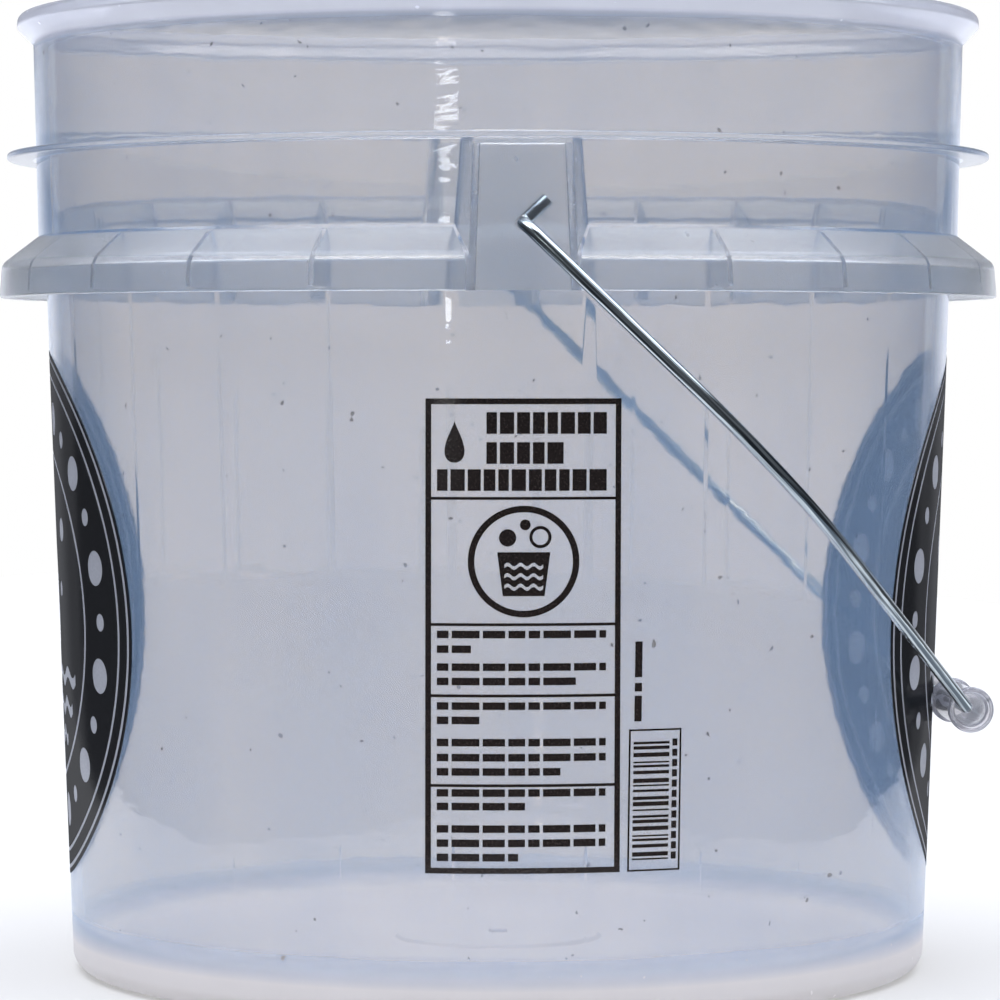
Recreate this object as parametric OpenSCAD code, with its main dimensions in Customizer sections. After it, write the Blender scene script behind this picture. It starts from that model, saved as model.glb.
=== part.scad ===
// Wash bucket: a clear moulded pail with a swinging wire bail, a loose grip and printed panels.
// Origin: middle of the base, on the floor. +Z is up, the bail pivots on the Y axis and hangs on +X.

/* [Pail] */
// Height of the pail, floor to top of the lip
pail_h = 290.8; // [286:0.1:296]
// Outside radius of the lower wall where it would meet the floor
base_r = 130.75; // [129:0.05:132]
// Outward slope of the lower wall, mm of radius per mm of height
lower_draft = 0.0369; // [0.034:0.0001:0.039]
// Outside radius of the upper wall just above the shoulder
neck_r = 140.9; // [140.4:0.05:141.6]
// Outward slope of the upper wall, mm of radius per mm of height
upper_draft = 0.0226; // [0.018:0.0001:0.027]
// Thickness of the wall
wall_t = 2.3; // [2:0.05:2.6]

/* [Base] */
// Height of the inside floor above the surface that the pail stands on
floor_z = 8.3; // [7.5:0.1:9.5]
// Thickness of the floor
floor_t = 2.3; // [2:0.1:3]
// Inside corner radius between floor and wall
floor_corner = 9; // [6:0.5:12]
// Outside corner radius between the wall and the foot ring
base_round = 6; // [5:0.1:6.5]
// Width of the foot ring, its rounded corner included
foot_w = 8.4; // [8.2:0.1:9.4]
// Radius of the raised disc in the middle of the floor
disc_r = 30.8; // [25:0.1:36]
// Height of the raised disc
disc_h = 1.2; // [0.6:0.1:2]
// Number of small ribs between the foot ring and the floor
foot_ribs = 12; // [6:1:24]

/* [Shoulder] */
// Height of the line where the shoulder leaves the wall
shoulder_z = 223.6; // [222:0.1:225]
// Height of the bottom edge of the skirt
skirt_z = 204.9; // [203:0.1:207]
// Height of the skirt up to its corner with the shoulder
skirt_h = 10.2; // [9.5:0.1:11]
// Outside radius of the skirt at its bottom edge
skirt_r = 152.8; // [152:0.1:153.4]
// Thickness of the shoulder and the skirt
skirt_t = 1.9; // [1.6:0.1:2.2]
// Angle between neighbouring gussets under the shoulder
gusset_step = 15; // [7.5, 15, 22.5]
// Thickness of a gusset
gusset_t = 1.5; // [1:0.1:2]

/* [Rib and lip] */
// Height of the middle of the rib above the ears
rib_z = 247.7; // [247.2:0.1:248.2]
// Thickness of the rib
rib_t = 2; // [1.8:0.1:2.4]
// Outside radius of the rib
rib_r = 150.3; // [149.8:0.1:151]
// Outside radius of the lip
lip_r = 147.1; // [146:0.1:148]
// Height of the lip, from the line where it leaves the wall to its top
lip_h = 8.8; // [8:0.1:10]

/* [Bail ears] */
// Half width of the flat front of an ear at its top
ear_top_w = 13.45; // [13:0.05:14]
// Half width of the flat front of an ear at its bottom
ear_bottom_w = 15; // [14.5:0.05:15.6]
// Distance from the pail's axis to the front of an ear at its top
ear_top_y = 149.3; // [149:0.05:149.8]
// Distance from the pail's axis to the front of an ear at its bottom
ear_bottom_y = 152.3; // [152:0.05:152.6]
// Spread of the side walls of an ear, mm of width per mm towards the pail
ear_flare = 0.3725; // [0.33:0.0025:0.42]
// Thickness of an ear's front and side walls
ear_t = 1.8; // [1.6:0.1:2]
// Height of the pivot hole above the floor
pivot_z = 223.1; // [222:0.1:224]
// Diameter of the pivot hole
pivot_hole_d = 4.5; // [4.4:0.05:4.8]
// Diameter of the ring around the hole, inside the ear
boss_d = 12.6; // [11:0.1:14]
// Height of that ring
boss_h = 1.2; // [0.8:0.1:1.4]

/* [Bail] */
// Diameter of the steel wire
wire_d = 3.76; // [3.4:0.01:3.8]
// Angle from straight down at which the bail hangs against the pail
rest_angle = 44.53; // [44.5:0.01:44.6]
// Distance from the pivot to the straight of the wire inside the grip
bail_reach = 198.5; // [198.4:0.1:199]
// Distance from the middle to each leg at its pivot bend
leg_y = 157; // [156.6:0.1:158.5]
// Distance from the middle to the shoulder bend of a leg
elbow_y = 165; // [163:0.1:168]
// Distance from the pivot to the shoulder bend of a leg
elbow_reach = 101; // [95:0.5:108]
// Distance by which the shoulder bend stands out of the plane of the bail
elbow_bow = 2.4; // [0:0.1:4]
// Bend radius of the shoulder bend
elbow_bend = 75; // [60:1:85]
// Distance from the middle to the bend outside the grip
grip_bend_y = 43.2; // [42.8:0.1:45]
// Distance from the middle to the foot behind the ear
foot_y = 145.5; // [145.3:0.05:145.6]
// Length of the foot, from the pivot axis
foot_l = 9.85; // [7:0.05:10.2]

/* [Grip] */
// Length of the grip
grip_l = 77; // [70:0.5:77.5]
// Diameter of the grip's end flanges and middle collar
flange_d = 13.8; // [13.4:0.1:13.9]
// Width of an end flange
flange_w = 2.2; // [1.5:0.1:3]
// Width of the middle collar
collar_w = 2.6; // [2:0.1:4]
// Diameter of the grip between its flanges
grip_d = 11.9; // [11.4:0.1:12.6]
// Diameter of the bore through the grip
grip_bore_d = 9.4; // [9.2:0.1:9.8]
// Diameter of the recess in each end of the grip
grip_recess_d = 10.6; // [10:0.1:11]
// Depth of that recess
grip_recess_l = 2.4; // [1:0.1:4]
// Distance from the pail's axis to the grip's axis
grip_x = 141.3; // [141.2:0.05:141.6]
// Height of the grip's axis above the floor
grip_z = 80.4; // [80.2:0.1:80.6]

/* [Printing] */
// Thickness of the printed film
film_t = 0.15; // [0.1:0.01:0.2]
// Radius of a round emblem, measured round the wall
emblem_r = 80; // [60:1:84]
// Height of the middle of an emblem
emblem_z = 109; // [100:1:112]
// Angle round the wall from the ear to the middle of the right emblem
emblem_right_angle = 90; // [88:0.1:92]
// Angle round the wall from the ear to the middle of the left emblem
emblem_left_angle = -88.6; // [-92:0.1:-88]
// Width of the notice panel, measured round the wall
notice_w = 54.4; // [50:0.1:56]
// Height of the notice panel
notice_h = 132.4; // [120:0.1:134]
// Height of the bottom edge of the notice panel
notice_z = 42.9; // [40:0.1:46]
// Width of the bars of the notice panel's frame
frame_w = 1.6; // [1:0.1:2.4]
// Angle round the wall from the ear to the middle of the notice panel
notice_angle = 0.4; // [-2:0.1:0.6]
// Width of the code panel, measured round the wall
code_w = 15.7; // [14:0.1:16]
// Height of the code panel
code_h = 40; // [36:0.1:44]
// Angle round the wall from the ear to the middle of the code panel
code_angle = 16.6; // [16.2:0.1:19]

/* [Hidden] */

$fn = 96;
ARC_STEP = 12;          // angle between the points of a rounded corner
FINE_STEP = 6;          // angle between the points of a printed circle
EDGE = 0.7;             // radius of the skirt's and the rib's edges
OVERLAP = 1.2;          // depth to which pieces of one moulding run into each other
SEAT = 0.02;            // depth to which a wire's straights sit in its bends, which are as much fatter
PLASTIC = [0.80, 0.86, 0.93, 0.45];
STEEL = [0.72, 0.75, 0.77];
CLEAR = [0.78, 0.80, 0.88, 0.6];
INK = [0.09, 0.08, 0.08];

corner_z = skirt_z + skirt_h;
corner_r = skirt_r - 0.08 * skirt_h;
step_low_z = corner_z + 1;
step_high_z = shoulder_z - 1;
rib_low_z = rib_z - rib_t / 2;
foot_in_r = base_r - foot_w;
underside_z = floor_z - floor_t;
lip_low_z = pail_h - lip_h;
ear_back_y = lower_r(skirt_z) - wall_t;

// Outside radius of the lower wall and of the upper wall at height z
function lower_r(z) = base_r + lower_draft * z;
function upper_r(z) = neck_r + upper_draft * (z - shoulder_z);

function unit(v) = v / norm(v);
function point_at(angle) = [cos(angle), sin(angle)];

// Points of the arc that rounds corner p, between the neighbours a and b, to the radius r
function corner_arc(a, p, b, r) =
    r == 0 ? [p] :
    let (
        to_a = unit(a - p),
        to_b = unit(b - p),
        half = acos(to_a * to_b) / 2,
        centre = p + unit(to_a + to_b) * r / sin(half),
        from = p + to_a * r / tan(half) - centre,
        to = p + to_b * r / tan(half) - centre,
        start = atan2(from[1], from[0]),
        turn = atan2(from[0] * to[1] - from[1] * to[0], from * to),
        steps = max(2, ceil(abs(turn) / ARC_STEP))
    )
    [for (i = [0 : steps]) centre + r * point_at(start + turn * i / steps)];

// Outline of the corners [x, y, radius], each rounded to its own radius
function rounded(corners) =
    let (
        n = len(corners),
        points = [for (c = corners) [c[0], c[1]]]
    )
    [for (i = [0 : n - 1]) each corner_arc(points[(i + n - 1) % n], points[i], points[(i + 1) % n],
                                           corners[i][2])];

// Section of the wall, the floor and the lip
function shell_section() = rounded([
    [foot_in_r, 0, 0.8],
    [base_r, 0, base_round],
    [lower_r(step_low_z), step_low_z, 0],
    [upper_r(step_high_z), step_high_z, 0],
    [upper_r(lip_low_z), lip_low_z, 1.5],
    [lip_r + 0.1, lip_low_z + 5.1, 1.2],
    [lip_r - 0.2, pail_h, 2.2],
    [upper_r(pail_h) - wall_t, pail_h, 0.9],
    [upper_r(step_high_z) - wall_t, step_high_z, 0],
    [lower_r(step_low_z) - wall_t, step_low_z, 0],
    [lower_r(floor_z) - wall_t, floor_z, floor_corner],
    [disc_r + disc_h, floor_z, 0],
    [disc_r, floor_z + disc_h, 0],
    [0, floor_z + disc_h, 0],
    [0, underside_z, 0],
    [foot_in_r - 0.8, underside_z, 1],
]);

// Section of the sloping shoulder and the skirt that hangs from it
function skirt_section() = rounded([
    [skirt_r, skirt_z, EDGE],
    [corner_r, corner_z, 4],
    [upper_r(shoulder_z), shoulder_z, 0],
    [neck_r - OVERLAP, shoulder_z, 0],
    [neck_r - OVERLAP, shoulder_z - skirt_t / 2, 0],
    [corner_r - skirt_t, corner_z - skirt_t, 2],
    [skirt_r - skirt_t, skirt_z, EDGE],
]);

// Section of a gusset: it runs a little way into the wall, the shoulder and the skirt
function gusset_section() = [
    [lower_r(skirt_z) - OVERLAP, skirt_z + 1.5],
    [skirt_r - skirt_t + 0.6, skirt_z + 1.5],
    [corner_r - skirt_t + 0.6, corner_z - skirt_t],
    [neck_r - 0.2, shoulder_z - skirt_t],
    [lower_r(step_low_z) - OVERLAP, step_low_z],
];

// A block with four sides whose outline differs between its bottom and its top
module tapered_block(bottom, top, z_bottom, z_top) {
    points = concat([for (p = bottom) [p[0], p[1], z_bottom]], [for (p = top) [p[0], p[1], z_top]]);
    polyhedron(points, [[0, 1, 2, 3], [7, 6, 5, 4], [0, 4, 5, 1], [1, 5, 6, 2], [2, 6, 7, 3], [3, 7, 4, 0]]);
}

// Plan of an ear at one height: a flat front and side walls that spread towards the pail
function ear_plan(half_w, front_y, back_y) =
    let (back_w = half_w + ear_flare * (front_y - back_y))
    [[-half_w, -front_y], [half_w, -front_y], [back_w, -back_y], [-back_w, -back_y]];

// The near ear's block: inset moves its front and side walls in, and reach moves only its front out
module ear_block(inset, reach, z_low, z_high, back_y) {
    slope_y = (ear_top_y - ear_bottom_y) / (rib_low_z - skirt_z);
    slope_w = (ear_top_w - ear_bottom_w) / (rib_low_z - skirt_z);
    function front(z) = ear_bottom_y + slope_y * (z - skirt_z) - inset + reach;
    function half_w(z) = ear_bottom_w + slope_w * (z - skirt_z) - inset - ear_flare * reach;
    tapered_block(ear_plan(half_w(z_low), front(z_low), back_y),
                  ear_plan(half_w(z_high), front(z_high), back_y), z_low, z_high);
}

// A cylinder along Y between two distances on the near side, at the height of the pivot
module pivot_cylinder(d, y_out, y_in) {
    translate([0, -y_out, pivot_z]) rotate([-90, 0, 0]) cylinder(d = d, h = y_out - y_in);
}

// Its children on the near ear, and again on the far one
module both_ears() {
    children();
    rotate([0, 0, 180]) children();
}

// The near ear: a shell that is open downward, with the ring that stiffens its hole
module ear_shell() {
    inner_y = ear_bottom_y - (ear_bottom_y - ear_top_y) * (pivot_z - skirt_z) / (rib_low_z - skirt_z) - ear_t;
    difference() {
        ear_block(0, 0, skirt_z, rib_z, ear_back_y);
        ear_block(ear_t, 0, skirt_z - 1, rib_low_z, ear_back_y - 1);
    }
    pivot_cylinder(boss_d, inner_y + ear_t / 2, inner_y - boss_h);
}

// Everything inside the middle of the wall, between the bottom of the skirt and the rib
module inside_of_wall() {
    top_z = rib_z + rib_t;
    rotate_extrude() polygon([
        [0, skirt_z - 1],
        [lower_r(skirt_z) - OVERLAP, skirt_z - 1],
        [lower_r(step_low_z) - OVERLAP, step_low_z],
        [upper_r(step_high_z) - OVERLAP, step_high_z],
        [upper_r(top_z) - OVERLAP, top_z],
        [0, top_z],
    ]);
}

// Shoulder, skirt and ears
module collar() {
    difference() {
        union() {
            difference() {
                rotate_extrude() polygon(skirt_section());
                both_ears() ear_block(ear_t / 2, 6, skirt_z - 1, rib_low_z, ear_back_y - 1);
            }
            both_ears() ear_shell();
        }
        both_ears() pivot_cylinder(pivot_hole_d, ear_bottom_y + 4, neck_r);
        inside_of_wall();
    }
}

module gussets() {
    first = gusset_step * 1.5;
    for (side = [0, 180], a = [first : gusset_step : 180 - first + 0.01])
        rotate([0, 0, side - 90 + a]) rotate([90, 0, 0])
            linear_extrude(gusset_t, center = true) polygon(gusset_section());
}

module foot_rib() {
    length = 9;
    translate([foot_in_r - length, -0.6, 1.6]) cube([length + 1, 1.2, underside_z - 1]);
}

module pail_body() {
    color(PLASTIC) {
        rotate_extrude() polygon(shell_section());
        rotate_extrude() polygon(rounded([
            [upper_r(rib_z) - OVERLAP, rib_low_z, 0],
            [rib_r, rib_low_z, EDGE],
            [rib_r, rib_low_z + rib_t, EDGE],
            [upper_r(rib_z) - OVERLAP, rib_low_z + rib_t, 0],
        ]));
        collar();
        gussets();
        for (i = [0 : foot_ribs - 1]) rotate([0, 0, i * 360 / foot_ribs]) foot_rib();
        translate([0, 0, floor_z]) cylinder(d = 6, h = disc_h + 0.8);
    }
}

// A round wire along straight lines between points, with an arc of the given radius at each inner point
module bent_wire(points, bends, d) {
    last = len(points) - 1;
    function along(i) = unit(points[i + 1] - points[i]);
    function turn(i) = acos(along(i - 1) * along(i));
    function trim(i) = i == 0 || i == last ? 0 : bends[i - 1] * tan(turn(i) / 2);
    for (i = [0 : last - 1]) {
        from = points[i] + along(i) * trim(i);
        length = norm(points[i + 1] - points[i]) - trim(i) - trim(i + 1);
        tilt = acos(along(i)[2]);
        heading = atan2(along(i)[1], along(i)[0]);
        lap_back = i == 0 ? 0 : SEAT;
        lap_ahead = i == last - 1 ? 0 : SEAT;
        translate(from) rotate([0, tilt, heading]) translate([0, 0, -lap_back])
            cylinder(d = d, h = length + lap_back + lap_ahead);
    }
    for (i = [1 : last - 1]) {
        r = bends[i - 1];
        inward = unit(along(i) - along(i - 1) * cos(turn(i)));
        start = points[i] - along(i - 1) * trim(i);
        x = -inward;
        y = along(i - 1);
        z = cross(x, y);
        o = start + inward * r;
        multmatrix([[x[0], y[0], z[0], o[0]], [x[1], y[1], z[1], o[1]], [x[2], y[2], z[2], o[2]]])
            rotate_extrude(angle = turn(i)) translate([r, 0]) circle(d = d + SEAT);
    }
}

// Place in the bail's own plane: reach from the pivot, distance y along the pivot axis, bow out of the plane
function bail_point(reach, y, bow = 0) = [
    reach * sin(rest_angle) + bow * cos(rest_angle),
    y,
    pivot_z - reach * cos(rest_angle) + bow * sin(rest_angle),
];

// The bail is one wire: a foot behind each ear, a pin through the hole, a leg, and a straight in the grip.
module bail_wire() {
    half = [
        bail_point(0, -foot_y, foot_l),
        bail_point(0, -foot_y),
        bail_point(0, -leg_y),
        bail_point(elbow_reach, -elbow_y, elbow_bow),
        bail_point(bail_reach, -grip_bend_y),
    ];
    count = len(half);
    far_half = [for (i = [count - 1 : -1 : 0]) [half[i][0], -half[i][1], half[i][2]]];
    bends = [2.4, 5, elbow_bend, 6];
    far_bends = [for (i = [len(bends) - 1 : -1 : 0]) bends[i]];
    color(STEEL) bent_wire(concat(half, far_half), concat(bends, far_bends), wire_d);
}

module grip() {
    end = grip_l / 2;
    outer_r = flange_d / 2;
    body_r = grip_d / 2;
    half = [
        [outer_r, collar_w / 2, 0.5],
        [body_r, collar_w / 2 + 0.4, 0.3],
        [body_r, end - flange_w - 0.4, 0.3],
        [outer_r, end - flange_w, 0.5],
        [outer_r, end, 0.5],
    ];
    mirrored = [for (i = [len(half) - 1 : -1 : 0]) [half[i][0], -half[i][1], half[i][2]]];
    color(CLEAR) translate([grip_x, 0, grip_z]) rotate([90, 0, 0]) difference() {
        rotate_extrude() polygon(rounded(concat([[0, -end, 0]], mirrored, half, [[0, end, 0]])));
        cylinder(d = grip_bore_d, h = grip_l + 2, center = true);
        for (side = [0, 180])
            rotate([0, side, 0]) translate([0, 0, end - grip_recess_l])
                cylinder(d = grip_recess_d, h = grip_recess_l + 1);
    }
}

// A film on the lower wall, cut to the outline that its children draw as seen at that angle from the near ear
module printed(angle, spread, z_low, z_high) {
    rotate([0, 0, angle]) intersection() {
        rotate([0, 0, -90 - spread]) rotate_extrude(angle = 2 * spread) polygon([
            [lower_r(z_low), z_low],
            [lower_r(z_low) + film_t, z_low],
            [lower_r(z_high) + film_t, z_high],
            [lower_r(z_high), z_high],
        ]);
        rotate([90, 0, 0]) linear_extrude(skirt_r) children();
    }
}

// Front view of a circle printed round the wall, with its middle at the emblem's height
function printed_circle(r) =
    let (wall_r = lower_r(emblem_z))
    [for (a = [0 : FINE_STEP : 359]) [wall_r * sin(r * cos(a) / wall_r * 180 / PI), emblem_z + r * sin(a)]];

module emblem_ring(r_in, r_out) {
    difference() {
        polygon(printed_circle(r_out));
        polygon(printed_circle(r_in));
    }
}

// Round emblem: a plain disc in a band and a thin outer ring
module emblem(angle) {
    spread = emblem_r / lower_r(emblem_z) * 180 / PI + 4;
    color(INK) printed(angle, spread, emblem_z - emblem_r - 4, emblem_z + emblem_r + 4) {
        emblem_ring(emblem_r - 1.4, emblem_r);
        emblem_ring(emblem_r - 6.6, emblem_r - 2.6);
        polygon(printed_circle(emblem_r - 7.8));
    }
}

module emblem_right() {
    emblem(emblem_right_angle);
}

module emblem_left() {
    emblem(emblem_left_angle);
}

// Outline of a rectangle of the given size, with its bottom edge on the X axis, as bars of width t
module frame(w, h, t) {
    difference() {
        translate([-w / 2, 0]) square([w, h]);
        translate([t - w / 2, t]) square([w - 2 * t, h - 2 * t]);
    }
}

// Notice panel: a frame with cross bars, and a generic round sign in its second field
module notice_panel() {
    cross_bars = [0.1895, 0.379, 0.529, 0.794];
    sign_r = 15.5;
    color(INK) printed(notice_angle, 14, notice_z - 1, notice_z + notice_h + 1) translate([0, notice_z]) {
        frame(notice_w, notice_h, frame_w);
        for (part = cross_bars)
            translate([-notice_w / 2, part * notice_h - frame_w]) square([notice_w, frame_w]);
        translate([0, (cross_bars[2] + cross_bars[3]) / 2 * notice_h - frame_w / 2]) difference() {
            circle(r = sign_r);
            circle(r = sign_r - 3);
        }
    }
}

// Code panel: a thin frame with a column of plain bars
module code_panel() {
    line = 0.5;
    margin = 2.4;
    bar_h = 1.3;
    color(INK) printed(code_angle, 5, notice_z - 1, notice_z + code_h + 1) translate([0, notice_z]) {
        frame(code_w, code_h, line);
        for (z = [margin : 2 * bar_h : code_h - margin - bar_h])
            translate([margin - code_w / 2, z]) square([code_w - 2 * margin, bar_h]);
    }
}

pail_body();
bail_wire();
grip();
emblem_right();
emblem_left();
notice_panel();
code_panel();
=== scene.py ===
"""Looks of the wash bucket: pail, bail, grip, prints, studio and camera.

Sizes are in millimetres unless they say so. Z is up from the floor, and the near ear is at -Y.
"""

import math

import bmesh
import bpy
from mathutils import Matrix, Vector


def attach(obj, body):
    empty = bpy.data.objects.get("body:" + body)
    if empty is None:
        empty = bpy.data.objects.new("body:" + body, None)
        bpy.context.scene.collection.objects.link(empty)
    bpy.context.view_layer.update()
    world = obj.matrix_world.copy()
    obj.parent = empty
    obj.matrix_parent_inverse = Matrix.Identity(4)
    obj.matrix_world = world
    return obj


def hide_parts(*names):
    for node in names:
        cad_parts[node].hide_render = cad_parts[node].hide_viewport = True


MM = 0.001
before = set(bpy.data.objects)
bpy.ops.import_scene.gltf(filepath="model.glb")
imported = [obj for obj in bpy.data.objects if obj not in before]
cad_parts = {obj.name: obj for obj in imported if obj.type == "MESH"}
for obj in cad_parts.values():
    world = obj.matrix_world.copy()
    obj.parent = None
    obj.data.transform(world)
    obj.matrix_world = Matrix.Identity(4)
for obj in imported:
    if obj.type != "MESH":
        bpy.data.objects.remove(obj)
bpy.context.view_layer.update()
scene = bpy.context.scene

# ---------------------------------------------------------------- sizes of the pail, as in the CAD model
# Names that end in R, D, H, W, L and T are radii, diameters, heights, widths, lengths and thicknesses.
# A draft is how much the wall's radius grows for each millimetre of height. The ears' halves are half widths.
# Gussets are a step of degrees apart, with none nearer to an ear's middle than GUSSET_FREE degrees.
PAIL_H = 290.8
BASE_R, LOWER_DRAFT = 130.75, 0.0369
NECK_R, UPPER_DRAFT = 140.9, 0.0226
SHOULDER_Z = 223.6
WALL_T = 2.3
FLOOR_Z, FLOOR_T, FLOOR_CORNER, BASE_ROUND, FOOT_W = 8.3, 2.3, 9, 6, 8.4
DISC_R, DISC_H = 30.8, 1.2
SKIRT_Z, SKIRT_H, SKIRT_R, SKIRT_T = 204.9, 10.2, 152.8, 1.9
RIB_Z, RIB_T, RIB_R = 247.7, 2, 150.3
LIP_R, LIP_H = 147.1, 8.8
EAR_TOP_HALF, EAR_BOTTOM_HALF, EAR_TOP_Y, EAR_BOTTOM_Y = 13.45, 15, 149.3, 152.3
EAR_FLARE, EAR_T = 0.3725, 1.8
PIVOT_Z, PIVOT_HOLE_D, BOSS_D, BOSS_H = 223.1, 4.5, 12.6, 1.2
GUSSET_STEP, GUSSET_T, GUSSET_FREE = 15, 1.5, 8
FOOT_RIBS, FOOT_RIB_T, FOOT_RIB_L, FOOT_RIB_LOW, FOOT_RIB_HIGH = 12, 1.2, 9, 1.6, 6.6
GATE_R, GATE_H = 3.2, 0.9
# How far joined solids run into each other
OVERLAP, BITE = 1.2, 0.6
SEGMENTS = 360

CORNER_Z = SKIRT_Z + SKIRT_H
CORNER_R = SKIRT_R - 0.08 * SKIRT_H
STEP_LOW_Z, STEP_HIGH_Z = CORNER_Z + 1, SHOULDER_Z - 1
RIB_LOW_Z = RIB_Z - RIB_T / 2
FOOT_IN_R = BASE_R - FOOT_W
LIP_LOW_Z = PAIL_H - LIP_H


def lower_r(z):
    """Outside radius of the lower wall at height z."""
    return BASE_R + LOWER_DRAFT * z


def upper_r(z):
    """Outside radius of the upper wall at height z."""
    return NECK_R + UPPER_DRAFT * (z - SHOULDER_Z)


# ---------------------------------------------------------------- outlines and meshes
def full_turn(count):
    """Angles in radians, evenly spaced round a circle."""
    return [2 * math.pi * i / count for i in range(count)]


def circle(x, y, r, count=96):
    """Points of a circle."""
    return [(x + r * math.cos(a), y + r * math.sin(a)) for a in full_turn(count)]


def box(x0, y0, x1, y1):
    """Points of a rectangle."""
    return [(x0, y0), (x1, y0), (x1, y1), (x0, y1)]


def rounded(corners, step=6):
    """Outline of (x, y, radius) corners, each rounded by an arc with a point about every step degrees."""
    points = [Vector(c[:2]) for c in corners]
    out = []
    for i, (p, r) in enumerate(zip(points, [c[2] for c in corners])):
        if r == 0:
            out.append(p)
            continue
        to_a = (points[i - 1] - p).normalized()
        to_b = (points[(i + 1) % len(points)] - p).normalized()
        half = math.acos(max(-1, min(1, to_a.dot(to_b)))) / 2
        centre = p + (to_a + to_b).normalized() * r / math.sin(half)
        start = p + to_a * r / math.tan(half) - centre
        turn = start.angle_signed(p + to_b * r / math.tan(half) - centre)
        steps = max(2, math.ceil(abs(math.degrees(turn)) / step))
        for k in range(steps + 1):
            a = -turn * k / steps
            out.append(centre + Vector((start.x * math.cos(a) - start.y * math.sin(a),
                                        start.x * math.sin(a) + start.y * math.cos(a))))
    return out


def to_object(name, bm, sharp=30):
    """Makes an object of a bmesh in millimetres, smooth except at edges sharper than that angle."""
    bmesh.ops.recalc_face_normals(bm, faces=bm.faces)
    mesh = bpy.data.meshes.new(name)
    bm.to_mesh(mesh)
    bm.free()
    mesh.transform(((MM, 0, 0, 0), (0, MM, 0, 0), (0, 0, MM, 0), (0, 0, 0, 1)))
    smooth(mesh, sharp)
    obj = bpy.data.objects.new(name, mesh)
    scene.collection.objects.link(obj)
    return obj


def smooth(mesh, sharp=30):
    """Smooth shading, except at edges sharper than that angle."""
    mesh.shade_smooth()
    mesh.set_sharp_from_angle(angle=math.radians(sharp))


def bridge(bm, a, b):
    """Faces between two closed rings of vertices, either of which may be a single vertex."""
    if len(a) == 1 and len(b) == 1:
        return
    n = max(len(a), len(b))
    for i in range(n):
        j = (i + 1) % n
        corners = [a[i % len(a)], a[j % len(a)], b[j % len(b)], b[i % len(b)]]
        bm.faces.new(list(dict.fromkeys(corners)))


def lathe_bmesh(outline, segments=SEGMENTS):
    """Solid of revolution about Z of a closed outline of (radius, height) points."""
    bm = bmesh.new()
    rings = []
    for r, z in outline:
        on_axis = r < 1e-6
        angles = [0] if on_axis else full_turn(segments)
        rings.append([bm.verts.new((r * math.cos(a), r * math.sin(a), z)) for a in angles])
    for a, b in zip(rings, rings[1:] + rings[:1]):
        bridge(bm, a, b)
    return bm


def lathe(name, outline, segments=SEGMENTS):
    """A solid of revolution as an object."""
    return to_object(name, lathe_bmesh(outline, segments))


def prism(bm, outline, place, depth):
    """A closed prism from -depth/2 to depth/2 of a third coordinate. place puts each (x, y, d) in space."""
    caps = [[bm.verts.new(place(x, y, d)) for x, y in outline] for d in (-depth / 2, depth / 2)]
    for cap in caps:
        bm.faces.new(cap)
    bridge(bm, *caps)


def combine(target, tool, operation="UNION"):
    """Joins the tool's solid to the target, or cuts it away, and deletes the tool."""
    cut = target.modifiers.new("cut", "BOOLEAN")
    cut.operation = operation
    cut.solver = "MANIFOLD"
    cut.object = tool
    bpy.context.view_layer.update()
    evaluated = target.evaluated_get(bpy.context.evaluated_depsgraph_get())
    mesh = bpy.data.meshes.new_from_object(evaluated)
    target.modifiers.clear()
    target.data = mesh
    bpy.data.objects.remove(tool)
    return target


# ---------------------------------------------------------------- the pail
def shell_outline():
    """Section of the wall, lip, floor and foot ring, from the foot ring's inside upwards and back."""
    return rounded([
        (FOOT_IN_R, 0, 0.8),
        (BASE_R, 0, BASE_ROUND),
        (lower_r(STEP_LOW_Z), STEP_LOW_Z, 0),
        (upper_r(STEP_HIGH_Z), STEP_HIGH_Z, 0),
        (upper_r(LIP_LOW_Z), LIP_LOW_Z, 1.5),
        (LIP_R + 0.1, LIP_LOW_Z + 5.1, 1.2),
        (LIP_R - 0.2, PAIL_H, 2.2),
        (upper_r(PAIL_H) - WALL_T, PAIL_H, 0.9),
        (upper_r(STEP_HIGH_Z) - WALL_T, STEP_HIGH_Z, 0),
        (lower_r(STEP_LOW_Z) - WALL_T, STEP_LOW_Z, 0),
        (lower_r(FLOOR_Z) - WALL_T, FLOOR_Z, FLOOR_CORNER),
        (DISC_R + DISC_H, FLOOR_Z, 1),
        (DISC_R, FLOOR_Z + DISC_H, 1),
        (0, FLOOR_Z + DISC_H, 0),
        (0, FLOOR_Z - FLOOR_T, 0),
        (FOOT_IN_R - 0.8, FLOOR_Z - FLOOR_T, 1),
    ])


def skirt_outline():
    """Section of the sloping shoulder and the skirt that hangs from it."""
    return rounded([
        (SKIRT_R, SKIRT_Z, 0.7),
        (CORNER_R, CORNER_Z, 4),
        (upper_r(SHOULDER_Z), SHOULDER_Z, 0),
        (NECK_R - OVERLAP, SHOULDER_Z, 0),
        (NECK_R - OVERLAP, SHOULDER_Z - SKIRT_T / 2, 0),
        (CORNER_R - SKIRT_T, CORNER_Z - SKIRT_T, 2),
        (SKIRT_R - SKIRT_T, SKIRT_Z, 0.7),
    ])


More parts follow.
